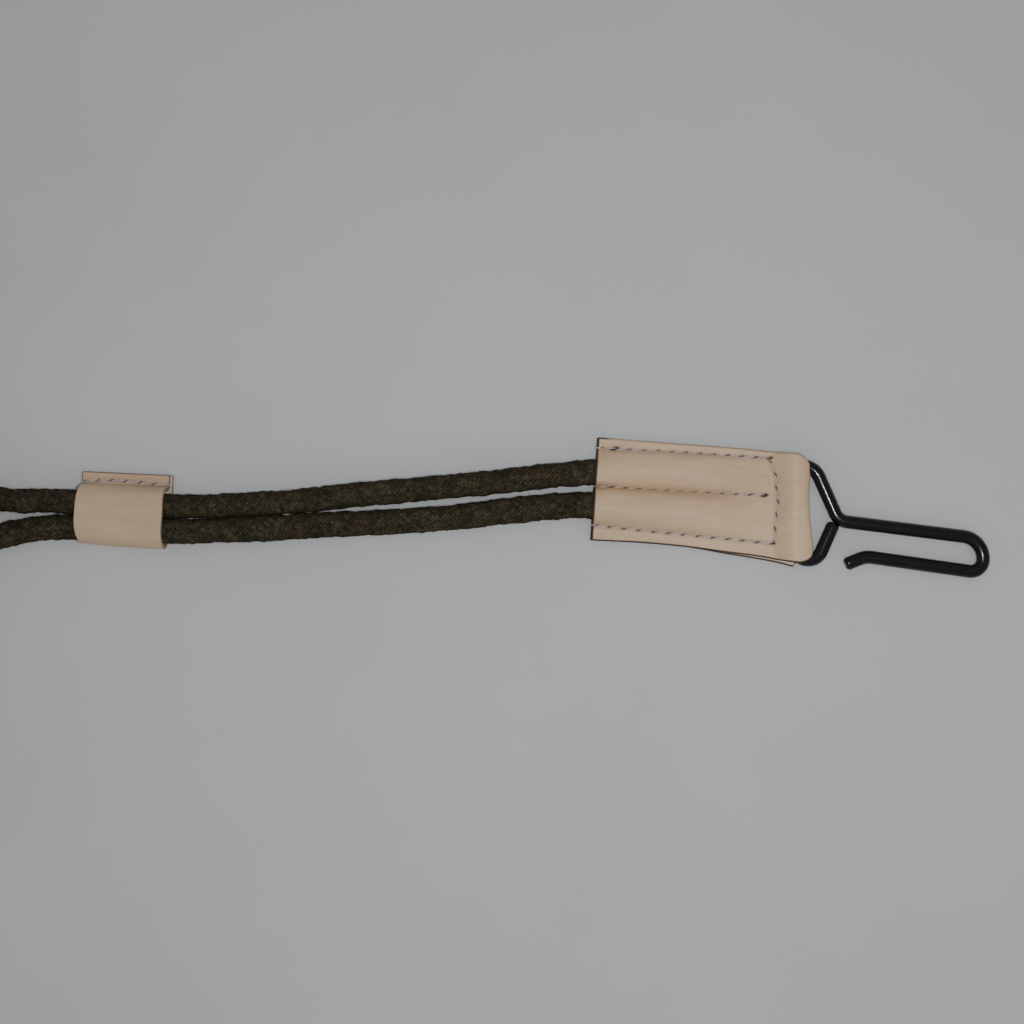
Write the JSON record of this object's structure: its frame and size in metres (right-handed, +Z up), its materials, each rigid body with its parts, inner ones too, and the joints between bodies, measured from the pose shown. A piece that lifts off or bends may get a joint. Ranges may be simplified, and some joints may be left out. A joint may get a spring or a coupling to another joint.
{
  "type": "cord lanyard",
  "caption": "Doubled braided cord lanyard: folded leather tab holding the cord ends and an open wire hook, with a sliding leather keeper round both strands; spare cord tied in a hank.",
  "frame": {"origin": "middle of the leather tab's flat back, where it lies on the table", "axes": "+X along the tab, from the cord towards the hook; +Z up, out of the table; +Y across the tab, on the side of the keeper's sewn flange"},
  "size_m": [0.3974, 0.0588, 0.0192],
  "materials": {
    "tab_leather": "natural undyed vegetable-tanned grain, slight gloss",
    "keeper_leather": "natural undyed vegetable-tanned grain, slight gloss",
    "hook_wire": "black lacquer on round steel wire",
    "seam_thread": "plied off-white thread",
    "cord": "braided cotton, dark olive, slightly fuzzy",
    "tie_tape": "woven cotton tape"
  },
  "bodies": {
    "lanyard": {"tab_leather": "tab_leather", "tab_edge_needle_thread": "seam_thread", "tab_edge_bobbin_thread": "seam_thread", "tab_middle_needle_thread": "seam_thread", "tab_middle_bobbin_thread": "seam_thread", "cord_upper_strand": "cord", "cord_lower_strand": "cord", "cord_end_upper": "cord", "cord_end_lower": "cord", "cord_hank": "cord", "hank_tie": "tie_tape"},
    "hook": {"wire_hook": "hook_wire"},
    "keeper": {"keeper_leather": "keeper_leather", "keeper_needle_thread": "seam_thread", "keeper_bobbin_thread": "seam_thread"}
  },
  "joints": [
    {"name": "hook_swing", "type": "hinge", "parent": "lanyard", "child": "hook", "pos_m": [0.02425, -0.00179, 0.00315], "axis": [0.0872, -0.9962, 0], "range_deg": [-60, 60]},
    {"name": "keeper_travel", "type": "hinge", "parent": "lanyard", "child": "keeper", "pos_m": [-0.22128, 0.87927, 0], "axis": [0, 0, 1], "range_deg": [-0.3, 6.6]}
  ]
}
